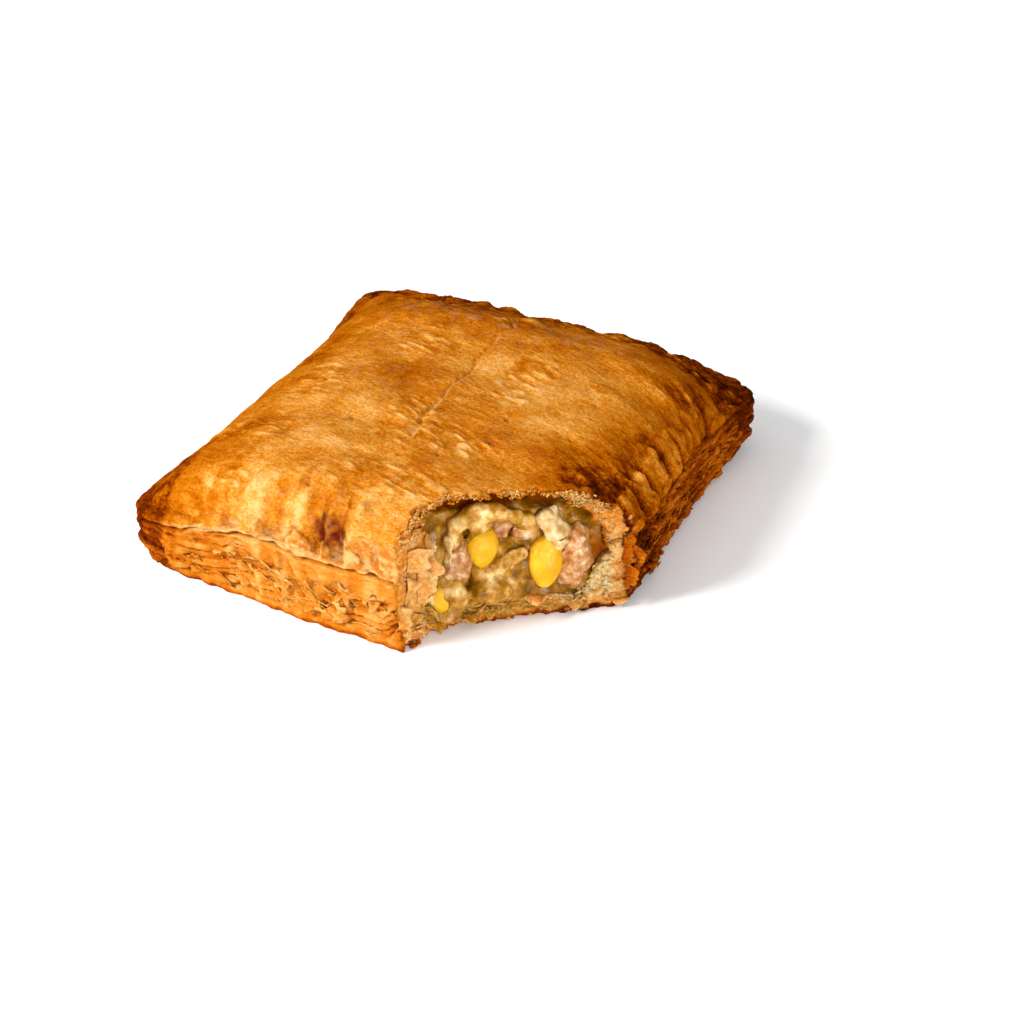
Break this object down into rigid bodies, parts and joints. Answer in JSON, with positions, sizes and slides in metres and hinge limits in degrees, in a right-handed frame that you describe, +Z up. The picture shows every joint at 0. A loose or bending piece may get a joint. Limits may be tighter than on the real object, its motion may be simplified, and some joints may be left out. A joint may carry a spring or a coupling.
{
  "type": "pasty with a torn corner",
  "caption": "Square baked puff-pastry pasty with crimped sides, one corner torn off to show a creamy filling with sweetcorn and meat.",
  "frame": {"origin": "middle of the bounding box in plan, on the surface that the pasty rests on", "axes": "+Z up; the smooth folded side faces -X, the torn corner is at +X -Y, the other three sides are crimped"},
  "size_m": [0.1086, 0.1198, 0.033],
  "materials": {
    "crust": "baked and glazed, golden brown",
    "cream": "moist cream sauce",
    "corn": "shiny yellow skin",
    "meat": "moist cooked meat",
    "onion": "translucent cooked onion"
  },
  "bodies": {
    "root": {"pastry": "crust", "filling": "cream", "corn_left": "corn", "corn_right": "corn", "corn_low": "corn", "meat_left": "meat", "meat_right": "meat", "meat_middle": "meat", "meat_back": "meat", "onion_top": "onion", "onion_small": "onion"}
  },
  "joints": []
}
